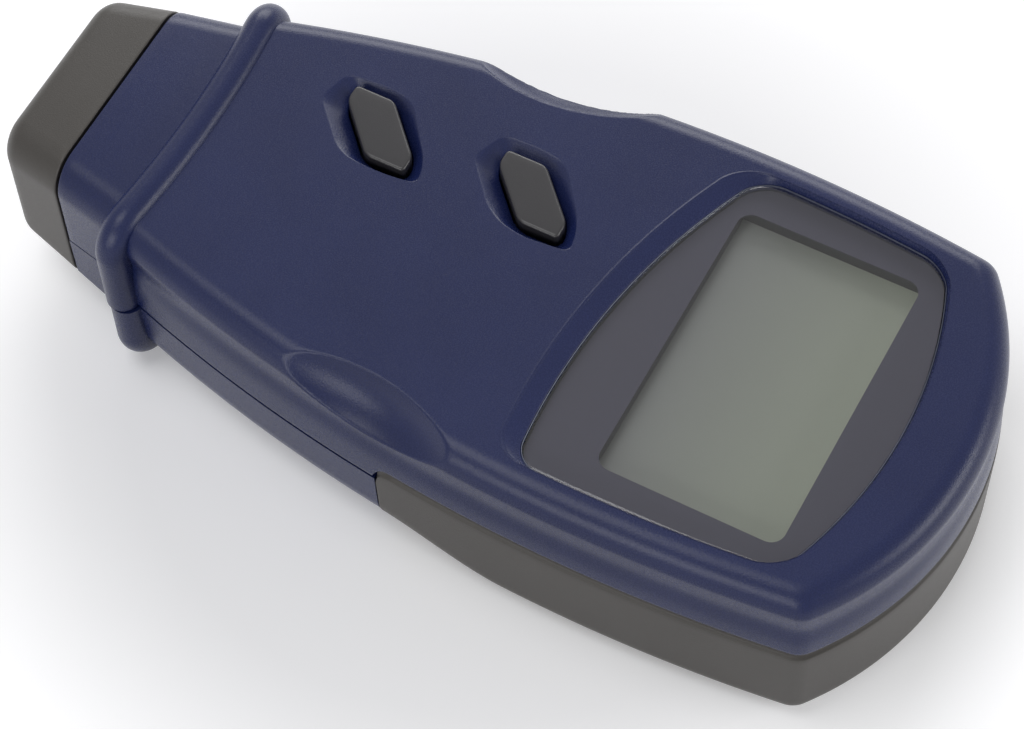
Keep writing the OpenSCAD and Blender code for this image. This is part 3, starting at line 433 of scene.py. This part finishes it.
def sinkGrips(x, y, z):
    # in the frame of the shoulder's diagonal the dish's depth falls off with the squares of both distances;
    # a point is pushed in to the dish where that is deeper, with a small round at the rim
    g, b = gripShape, bodyShape
    cx = halfAt(y) - (b["face"] - b["parting"]) * math.tan(math.radians(b["lean"]))
    rx, rz = x - cx, z - b["face"]
    depth, across = -(rx + rz) / math.sqrt(2), (rz - rx) / math.sqrt(2)
    dish = g["floor"] - (y - g["station"]) ** 2 / (2 * g["alongRadius"])
    dish = dish - (across - g["tilt"]) ** 2 / (2 * g["acrossRadius"])
    over = dish - depth
    push = (over + np.sqrt(over ** 2 + g["edge"] ** 2)) / 2
    reach, ease = g["fade"]
    push = np.where(over > -reach, push, 0) * smooth((over + reach) / ease)
    return x - push / math.sqrt(2), y, z - push / math.sqrt(2)


def makeShoulders():
    # wall, shoulder round and the margin of the top face, carried round three sides of the body
    b = bodyShape
    n = b["columns"]
    plan = rimPoints(np.zeros((1, n)))[1][0]
    past = np.clip(plan - b["coverTurn"], 0, b["coverRound"]) / b["coverRound"]
    low = b["parting"] + b["coverRise"] * np.sqrt(1 - past ** 2)
    lean = math.tan(math.radians(b["lean"]))
    high = b["face"] - b["shoulder"]
    rows = [(np.full(n, inset) + (low + rise - b["parting"]) * lean, low + rise) for inset, rise in b["lowerEdge"]]
    foot = low + b["lowerEdge"][-1][1]
    for t in np.linspace(0, 1, 28)[1:]:
        # the wall draws in a little under the shoulder, as a shallow cove
        z = foot + (high - foot) * t
        rows.append(((z - b["parting"]) * lean + b["cove"] * np.exp(-((z - b["coveHeight"]) / b["coveReach"]) ** 2), z))
    middle = (high - b["parting"]) * lean + b["shoulder"]
    for t in np.linspace(0.12, np.pi / 2, 18):
        rows.append((np.full(n, middle - b["shoulder"] * math.cos(t)), np.full(n, high + b["shoulder"] * math.sin(t))))
    (start, startEase), (end, endEase) = b["widerFrom"], b["widerTo"]
    margin = b["margin"] + b["wider"] * smooth((plan - start) / startEase) * smooth((end - plan) / endEase)
    for t in np.linspace(0, 1, 20)[1:]:
        rows.append((middle + (margin - middle) * t, np.full(n, b["face"])))
    inset, z = np.array([r[0] for r in rows]), np.array([r[1] for r in rows])
    x, y = rimPoints(inset)
    grid = bothSides(*sinkGrips(x, y, z))
    thing = makePiece("topCaseSides", grid, [gridFaces(*grid.shape[:2])], finishes["navy"],
                      "case", (0, 70, 18))
    thicken(thing, b["wall"])
    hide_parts("top_case")
    return grid[-1]


# Window: two long sides, a round lower edge and a slanting upper edge; the pairs are (growth of the outline, rise)
windowShape = {"margin": 5.7, "start": 12.3, "lowRadius": 70.0, "crest": (-16.3, 60.9), "highRadius": 104.0,
               "corner": 3.6, "band": 3.0, "lip": 0.14, "rimGrow": 0.55, "wellGrow": 0.12, "wellFoot": 31.6,
               "top": 34.25, "thick": 1.2, "centre": (0.0, 36.0), "count": 960,
               "sheetLow": [(-0.5, 0.02), (-0.05, 0.02), (0.0, 0.1)],
               "sheetHigh": [(0.0, -0.3), (-0.1, -0.08), (-0.35, 0.0), (-1.2, 0.0)],
               # rows of the strip that carries the painted edge highlight
               "edgeHighlightRows": [(0.03, -0.5), (0.0, -0.02), (-0.1, 0.02)],
               "view": (24.6, 14.8), "viewMiddle": 35.2, "viewCorner": 2.3, "printDepth": 0.25}


def windowLoop(grow, lift=0.0):
    w, b = windowShape, bodyShape

    def field(p):
        side = b["sideRadius"] - w["margin"]
        middle = b["halfWidth"] - b["sideRadius"]
        crestX, crestY = w["crest"]
        return roundedMeet([np.hypot(p[:, 0] - middle, p[:, 1] - b["widest"]) - side,
                            np.hypot(p[:, 0] + middle, p[:, 1] - b["widest"]) - side,
                            np.hypot(p[:, 0], p[:, 1] - w["start"] - w["lowRadius"]) - w["lowRadius"],
                            np.hypot(p[:, 0] - crestX, p[:, 1] - crestY - lift + w["highRadius"]) - w["highRadius"]],
                           w["corner"]) - grow
    return rayLoop(field, w["centre"], w["count"])


def viewLoop(grow):
    # rounded rectangle through which the display shows
    w = windowShape

    def field(p):
        return roundedMeet([np.abs(p[:, 0]) - w["view"][0], np.abs(p[:, 1] - w["viewMiddle"]) - w["view"][1]],
                           w["viewCorner"]) - grow
    return rayLoop(field, w["centre"], w["count"])


def makeWindow():
    w, b = windowShape, bodyShape
    count = w["count"]
    # well: a low lip at the face, the sloped band, then straight down past the sheet
    outer, inner = windowLoop(w["rimGrow"], w["band"]), windowLoop(w["wellGrow"])
    drop = b["face"] - w["top"]
    loops, heights = [], []
    for t in np.linspace(0, 1, 36):
        lip = w["lip"] * math.exp(-((t - 0.1) / 0.07) ** 2) * (t > 0)
        loops.append(outer + (inner - outer) * t)
        heights.append(b["face"] - drop * (1.2 * smooth(t / 2) + 0.4 * t) + lip)
    loops += [windowLoop(w["wellGrow"] - 0.02)] * 2
    heights += [w["top"] - 0.3, w["wellFoot"]]
    makePiece("windowWell", stackRows(loops, heights), [gridFaces(len(loops), count, True)], finishes["navy"],
              "case", (0, 36, -400))
    # clear sheet with a polished bevel
    low = w["top"] - w["thick"]
    profile = [(grow, low + rise) for grow, rise in w["sheetLow"]]
    profile += [(grow, w["top"] + rise) for grow, rise in w["sheetHigh"]]
    rows = stackRows([windowLoop(grow) for grow, z in profile], [z for grow, z in profile])
    points = np.concatenate([rows, [[*w["centre"], profile[-1][1]], [*w["centre"], profile[0][1]]]])
    sheet = makePiece("windowSheet", points, cappedFaces(len(profile), count), finishes["sheet"],
                      "case", (0, 36, 33.6))
    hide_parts("display_lens")
    # painted highlight along the polished edge: a thin strip of pale opaque colour where the edge would catch the light
    rows = stackRows([windowLoop(grow) for grow, rise in w["edgeHighlightRows"]],
                     [w["top"] + rise for grow, rise in w["edgeHighlightRows"]])
    makePiece("windowSheetEdgeHighlight", rows, [gridFaces(len(w["edgeHighlightRows"]), count, True)], finishes["paintedEdgeHighlight"],
              "case", (0, 36, 20))
    # print behind the sheet, turned down at the clear opening
    loops = [windowLoop(-0.3), windowLoop(-2.0), viewLoop(0.5), viewLoop(0.0), viewLoop(0.0)]
    heights = [low - 0.02] * 4 + [low - w["printDepth"]]
    makePiece("windowPrint", stackRows(loops, heights), [gridFaces(len(loops), count, True)], finishes["lensPrint"],
              "case", (0, 36, -400), soft=False)


# Keys and their wells: convex outlines given by their corners
keyShape = {"outline": [(-5.45, -7.15), (-2.45, -7.15), (5.45, 0.45), (5.45, 7.15), (2.45, 7.15), (-5.45, -0.45)],
            "corner": 0.75, "top": 36.1, "dome": 0.04, "foot": 31.6, "edge": 0.5, "gap": 0.35, "depth": 1.7,
            "wellCorner": 1.3, "wellFoot": 31.1, "ease": 0.06, "count": 240,
            "wells": [[(1.4, 11.4), (7.0, 9.5), (7.8, 0.9), (7.0, -1.9),
                       (-2.6, -9.4), (-6.2, -9.9), (-7.3, -1.5), (-6.3, 4.0)],
                      [(2.3, 11.5), (7.9, 9.0), (8.3, 0.6), (7.6, -1.8),
                       (-1.6, -8.9), (-6.5, -9.8), (-7.5, -1.0), (-5.6, 4.6)]],
            "places": {"read_button": (11.1, 105.3), "memory_button": (11.1, 78.9)}}


def keyLoop(outline, place, grow, corner):
    # distance to each edge of the convex outline, positive outside
    a = np.array(outline)
    if np.cross(a[1] - a[0], a[2] - a[1]) < 0:
        a = a[::-1]
    way = np.roll(a, -1, 0) - a
    out = np.stack([way[:, 1], -way[:, 0]], -1) / np.linalg.norm(way, axis=1)[:, None]

    def field(p):
        rel = p - np.array(place)
        return roundedMeet([(rel - start) @ normal for start, normal in zip(a, out)], corner) - grow
    return rayLoop(field, place, keyShape["count"])


def makeKeys():
    k, b = keyShape, bodyShape
    n = k["count"]
    rims = []
    for (name, place), well in zip(k["places"].items(), k["wells"]):
        # well: eases in from the face, steepest at the key, then straight down
        outer = keyLoop(well, place, 0.0, k["wellCorner"])
        inner = keyLoop(k["outline"], place, k["gap"], k["corner"] + k["gap"])
        rims.append(outer)
        loops, heights = [], []
        for t in np.linspace(0, 1, 20) ** 1.3:
            loops.append(outer + (inner - outer) * t)
            heights.append(b["face"] - k["depth"] * (t - k["ease"] * (1 - math.exp(-t / k["ease"])) * (1 - t)))
        loops.append(inner)
        heights.append(k["wellFoot"])
        makePiece(name + "Well", stackRows(loops, heights), [gridFaces(len(loops), n, True)], finishes["navy"],
                  "case", (*place, -300))
        # key: straight side, round edge and a faint dome
        loops, heights = [keyLoop(k["outline"], place, 0.0, k["corner"])], [k["foot"]]
        for t in np.linspace(0, np.pi / 2, 9):
            loops.append(keyLoop(k["outline"], place, -k["edge"] * (1 - math.cos(t)), k["corner"]))
            heights.append(k["top"] - k["dome"] - k["edge"] * (1 - math.sin(t)))
        last = loops[-1]
        for share in (0.8, 0.6, 0.4, 0.2):
            loops.append(np.array(place) + (last - np.array(place)) * share)
            heights.append(k["top"] - k["dome"] * share ** 2)
        points = np.concatenate([stackRows(loops, heights), [[*place, k["top"]], [*place, k["foot"]]]])
        key = makePiece(name + "Cap", points, cappedFaces(len(loops), n), finishes["keyRubber"],
                        name, (*place, 33.8))
        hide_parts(name)
    return rims


def makeFace(edge, wells):
    # flat top face between the shoulders, the window band and the key wells
    holes = [windowLoop(windowShape["rimGrow"], windowShape["band"])] + wells
    flat, tris = plateFaces(edge[:, :2], holes)
    points = np.column_stack([flat, np.full(len(flat), bodyShape["face"])])
    makePiece("topCaseFace", points, [tris], finishes["navy"], "case", (0, 70, 0), soft=False)


# Nose and neck; at their seam the pairs are (station from the seam, inset)
noseShape = {"seam": 145.7, "half": 19.0, "low": 5.2, "rise": 13.4, "high": 34.8, "taper": 12.0, "topRound": 5.4,
             "keelRound": 4.5, "fall": 0.09, "front": 158.0, "frontRound": 3.0, "parting": 17.5, "steps": 14,
             "neckStart": 131.8, "neckSeam": [(-0.2, 0.05), (-0.12, 0.25), (-0.12, 1.6)],
             "capSeam": [(0.35, 1.6), (0.35, 0.25), (0.42, 0.05), (0.65, 0.0)],
             "holes": [(5.4, 7.6), (-8.6, 3.4)], "axis": 21.4, "wall": 2.0, "holeSteps": 64}


def noseSection(station, inset=0.0, upper=False):
    # rounded rectangle: corner arcs joined by straight walls, narrowing, rising and falling toward the front
    s = noseShape
    ahead = station - s["seam"]
    half = s["half"] - ahead * math.tan(math.radians(s["taper"])) - inset
    low = s["low"] + ahead * math.tan(math.radians(s["rise"])) + inset
    high = s["high"] - inset - max(ahead, 0) * s["fall"]
    top, keel = max(s["topRound"] - inset, 0.6), max(s["keelRound"] - inset, 0.6)
    turn = np.linspace(0, np.pi / 2, s["steps"])
    if upper:
        foot, start = np.array([[half, s["parting"] + 0.02]]), s["parting"] + 0.4
    else:
        t = turn - np.pi / 2
        foot, start = np.stack([half - keel + keel * np.cos(t), low + keel + keel * np.sin(t)], -1), low + keel + 0.8
    wall = np.stack([np.full(5, half), np.linspace(start, high - top - 0.8, 5)], -1)
    crown = np.stack([half - top + top * np.cos(turn), high - top + top * np.sin(turn)], -1)
    side = np.concatenate([foot, wall, crown])
    loop = np.concatenate([side, side[::-1] * np.array([-1, 1])])
    return np.column_stack([loop[:, 0], np.full(len(loop), station), loop[:, 1]])


def makeNose():
    s = noseShape
    # neck: upper half only, with a small round at the seam
    rows = [(y, 0.0) for y in np.linspace(s["neckStart"], s["seam"] - 0.4, 12)]
    rows += [(s["seam"] + ahead, inset) for ahead, inset in s["neckSeam"]]
    grid = np.array([noseSection(y, inset, True) for y, inset in rows])
    makePiece("topCaseNeck", grid, [gridFaces(*grid.shape[:2])], finishes["navy"], "case", (0, 138, 17))
    # nose: closed loops, round at the seam and into the front face
    r = s["frontRound"]
    rows = [(s["seam"] + ahead, inset) for ahead, inset in s["capSeam"]]
    rows += [(y, 0.0) for y in np.linspace(s["seam"] + 1.2, s["front"] - r, 8)]
    rows += [(s["front"] - r + r * math.sin(t), r * (1 - math.cos(t))) for t in np.linspace(0, np.pi / 2, 12)[1:]]
    grid = np.array([noseSection(y, inset) for y, inset in rows])
    cap = makePiece("noseCapSkin", grid, [gridFaces(*grid.shape[:2], True)], finishes["grey"],
                    "case", (0, 150, 20))
    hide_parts("nose_cap")
    # front face with the two openings
    turn = np.linspace(0, 2 * np.pi, s["holeSteps"], endpoint=False)
    circles = [np.stack([x + radius * np.cos(turn), s["axis"] + radius * np.sin(turn)], -1) for x, radius in s["holes"]]
    flat, tris = plateFaces(grid[-1][:, [0, 2]], circles)
    points = np.column_stack([flat[:, 0], np.full(len(flat), s["front"]), flat[:, 1]])
    makePiece("noseCapFront", points, [tris], finishes["grey"], "case", (0, 100, 20), soft=False)
    for k, circle in enumerate(circles):
        # wall of each opening, turned in behind the front face, with its faces toward the opening
        rows = [np.column_stack([circle[:, 0], np.full(len(circle), s["front"] - depth), circle[:, 1]])
                for depth in (0, s["wall"])]
        wall = makePiece(f"noseOpening{k}", np.concatenate(rows), [gridFaces(2, len(circle), True)], finishes["grey"],
                         "case", (s["holes"][k][0], 157, s["axis"]))
        wall.data.flip_normals()


# Bead round the neck
beadShape = {"half": 24.0, "round": 2.8, "corner": 4.6, "high": 34.2, "station": 130.6, "bow": 1.7, "low": 17.52,
             "sides": 40, "cornerRows": 24, "sideRows": 8, "topRows": 28}


def makeBead():
    # tube carried up one side, over the top and down the other, bowed toward the display
    b = beadShape
    turn = np.linspace(0, np.pi / 2, b["cornerRows"])
    reach = b["half"] - b["corner"]
    rise = np.linspace(b["low"], b["high"] - b["corner"], b["sideRows"], endpoint=False)
    flank = np.column_stack([np.full(len(rise), b["half"]), rise])
    bend = np.column_stack([reach + b["corner"] * np.cos(turn), b["high"] - b["corner"] + b["corner"] * np.sin(turn)])
    right = np.concatenate([flank, bend])
    across = np.linspace(reach, -reach, b["topRows"] + 2)[1:-1]
    top = np.column_stack([across, np.full(len(across), b["high"])])
    path = np.concatenate([right, top, right[::-1] * np.array([-1, 1])])
    way = np.gradient(path, axis=0)
    way /= np.linalg.norm(way, axis=1)[:, None]
    out = np.stack([way[:, 1], -way[:, 0]], -1)
    roll = np.linspace(0, 2 * np.pi, b["sides"], endpoint=False)
    x = path[:, :1] + b["round"] * np.cos(roll) * out[:, :1]
    z = path[:, 1:] + b["round"] * np.cos(roll) * out[:, 1:]
    y = b["station"] + b["bow"] * (path[:, :1] / b["half"]) ** 2 + b["round"] * np.sin(roll)[None]
    grid = np.stack([x, y, z], -1)
    makePiece("topCaseBead", grid, [gridFaces(*grid.shape[:2], True)], finishes["navy"], "case", (0, 131, 10))


# Battery cover: its skin round three sides and underneath, with the rounded front corner
coverShape = {"top": 20.8, "front": 81.9, "frontCorner": 3.4,
              # inset and drop of the rows along the stepped upper edge
              "upperEdge": [(1.3, 0.0), (0.75, 0.0), (0.53, 0.12), (0.5, 0.3),
                            (0.5, 0.98), (0.2, 1.1), (0.04, 1.18), (0.0, 1.4)],
              "keel": 5.0, "keelEnd": 8.0, "slopeStart": 60.0, "rise": 1.4, "margin": 9.0,
              "wall": 1.3, "floorWall": 1.6, "ridges": 6, "ridgePitch": 2.4, "ridgeStart": 24.0,
              "ridgeHalf": 9.0, "ridgeWidth": 1.0, "ridgeDepth": 0.5}


def makeCover():
    # each column is a section: stepped upper edge, leaning wall, lower round and the margin underneath
    c, b = coverShape, bodyShape
    n = b["columns"] * 2
    lean = math.tan(math.radians(b["lean"]))
    along = rimPoints(np.zeros((1, n)))[1][0]
    keep = along <= c["front"] + 0.5
    share = smooth((along - c["slopeStart"]) / (c["front"] - c["slopeStart"]))
    low, keel = c["rise"] * share, c["keel"] + (c["keelEnd"] - c["keel"]) * share
    r = c["frontCorner"]
    fall = r * (1 - np.sqrt(1 - (np.clip(along - c["front"] + r, 0, r) / r) ** 2))
    rows = [(np.full(n, inset), c["top"] - fall - drop) for inset, drop in c["upperEdge"]]
    wallTop, foot = rows[-1][1], low + keel
    for t in np.linspace(0, 1, 14)[1:]:
        z = wallTop * (1 - t) + foot * t
        rows.append((np.maximum(b["parting"] - z, 0) * lean, z))
    edge = np.maximum(b["parting"] - foot, 0) * lean
    for t in np.linspace(0, np.pi / 2, 16)[1:]:
        rows.append((edge + keel * (1 - math.cos(t)), foot - keel * math.sin(t)))
    for t in np.linspace(0, 1, 5)[1:]:
        rows.append((edge + keel + (c["margin"] - edge - keel) * t, low))
    inset, z = np.array([r[0] for r in rows]), np.array([r[1] for r in rows])
    x, y = rimPoints(inset)
    y = np.minimum(y, c["front"])
    x, y, z = x[:, keep], y[:, keep], z[:, keep]
    grid = bothSides(x, y, z)
    skin = makePiece("batteryCoverSkin", grid, [gridFaces(*grid.shape[:2])], finishes["grey"],
                     "battery_cover", (0, 40, 10))
    thicken(skin, c["wall"])
    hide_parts("battery_cover")
    # underneath: plate to the middle, which rises toward the front, with finger ridges sunk into it
    across = np.linspace(-1, 1, 181)
    right = grid[-1][: x.shape[1]]
    stations = np.linspace(right[-1, 1], c["front"], 260)
    halves = np.interp(stations, right[::-1, 1], right[::-1, 0])
    px = across[None] * halves[:, None]
    py = np.repeat(stations[:, None], len(across), 1)
    pz = c["rise"] * smooth((py - c["slopeStart"]) / (c["front"] - c["slopeStart"]))
    step = (py - c["ridgeStart"]) / c["ridgePitch"]
    inRow = (step > -0.3) & (step < c["ridges"] - 0.3)
    groove = smooth((c["ridgeWidth"] / 2 - np.abs(step - np.round(step)) * c["ridgePitch"]) / 0.25) * inRow
    pz = pz + c["ridgeDepth"] * groove * smooth((c["ridgeHalf"] - np.abs(px)) / 0.5)
    plate = makePiece("batteryCoverFloor", np.stack([px, py, pz], -1), [gridFaces(*px.shape)], finishes["grey"],
                      "battery_cover", (0, 40, 60))
    thicken(plate, c["floorWall"])


makeFace(makeShoulders(), makeKeys())
makeWindow()
makeNose()
makeBead()
makeCover()
print("shaped pieces made")

# Floor and world: the floor's glow grows from near to far over the reach, in metres from the middle; its dim part round
# the object is painted shade
stageSet = {"floor": "#f4f4f6", "size": 6.0, "world": 0.16, "paintedShadeNear": 0.17, "far": 0.6, "reach": (0.06, 0.15)}


def seenDirectly(tree):
    # 1 for rays that show the background itself: to the camera, in a gloss or through glass
    path = addNode(tree, "ShaderNodeLightPath")
    first = addNode(tree, "ShaderNodeMath", {"operation": "MAXIMUM"},
                    {0: (path, "Is Camera Ray"), 1: (path, "Is Glossy Ray")})
    return addNode(tree, "ShaderNodeMath", {"operation": "MAXIMUM"}, {0: (first, 0), 1: (path, "Is Transmission Ray")})


def makeFloor():
    s = stageSet
    material, tree, coords = newMaterial("paleFloor")
    base = addNode(tree, "ShaderNodeBsdfDiffuse", {"Color": srgb(s["floor"])})
    # backdrop's glow: faint round the object as painted shade that deepens its shadow, full further out
    away = addNode(tree, "ShaderNodeVectorMath", {"operation": "LENGTH"}, {0: (coords, "Object")})
    level = addNode(tree, "ShaderNodeMapRange", {"From Min": s["reach"][0], "From Max": s["reach"][1],
                                                 "To Min": s["paintedShadeNear"], "To Max": s["far"]}, {"Value": (away, "Value")})
    glow = addNode(tree, "ShaderNodeEmission", {"Color": (1, 1, 1, 1)}, {"Strength": (level, "Result")})
    black = addNode(tree, "ShaderNodeEmission", {"Strength": 0.0})
    seen = addNode(tree, "ShaderNodeMixShader", links={"Fac": (seenDirectly(tree), 0), 1: (black, 0), 2: (glow, 0)})
    both = addNode(tree, "ShaderNodeAddShader", links={0: (base, 0), 1: (seen, 0)})
    # clear from beneath, so that the underside can be looked at
    side = addNode(tree, "ShaderNodeNewGeometry")
    clear = addNode(tree, "ShaderNodeBsdfTransparent", {"Color": (1, 1, 1, 1)})
    whole = addNode(tree, "ShaderNodeMixShader", links={"Fac": (side, "Backfacing"), 1: (both, 0), 2: (clear, 0)})
    finishMaterial(tree, whole)
    mesh = bpy.data.meshes.new("floor")
    r = s["size"]
    mesh.from_pydata([(-r, -r, 0), (r, -r, 0), (r, r, 0), (-r, r, 0)], [], [(0, 1, 2, 3)])
    mesh.materials.append(material)
    floor = bpy.data.objects.new("floor", mesh)
    scene.collection.objects.link(floor)


def makeWorld():
    world = bpy.data.worlds.new("studio")
    world.use_nodes = True
    tree = world.node_tree
    tree.nodes.clear()
    soft = addNode(tree, "ShaderNodeBackground", {"Color": (1, 1, 1, 1), "Strength": stageSet["world"]})
    white = addNode(tree, "ShaderNodeBackground", {"Color": (1, 1, 1, 1), "Strength": 1.0})
    mix = addNode(tree, "ShaderNodeMixShader", links={"Fac": (seenDirectly(tree), 0), 1: (soft, 0), 2: (white, 0)})
    out = addNode(tree, "ShaderNodeOutputWorld")
    tree.links.new(mix.outputs[0], out.inputs["Surface"])
    scene.world = world


# Lamps: place and size in metres, power in watts
lampSet = {
    "softTop": {"place": (-0.15, 0.25, 0.9), "aim": (0, 0, 0), "size": (0.5, 0.5), "power": 2.7},
    "softLeft": {"place": (-0.9, 0.1, 0.45), "aim": (0, 0, 0), "size": (0.7, 0.35), "power": 3.4},
    "softRight": {"place": (0.75, 0.3, 0.42), "aim": (0, 0, 0), "size": (0.7, 0.4), "power": 4.5},
    "softEnd": {"place": (0.25, -0.85, 0.3), "aim": (0, -0.05, 0.02), "size": (0.6, 0.25), "power": 3.0},
}


def makeLamps():
    for name, lamp in lampSet.items():
        data = bpy.data.lights.new(name, "AREA")
        data.shape = "RECTANGLE"
        data.size, data.size_y = lamp["size"]
        data.energy = lamp["power"]
        thing = bpy.data.objects.new(name, data)
        place = Vector(lamp["place"])
        turn = (Vector(lamp["aim"]) - place).to_track_quat("-Z", "Y").to_matrix().to_4x4()
        thing.matrix_world = Matrix.Translation(place) @ turn
        scene.collection.objects.link(thing)


makeFloor()
makeWorld()
makeLamps()
scene.view_settings.view_transform = "Standard"
print("stage and lamps set")
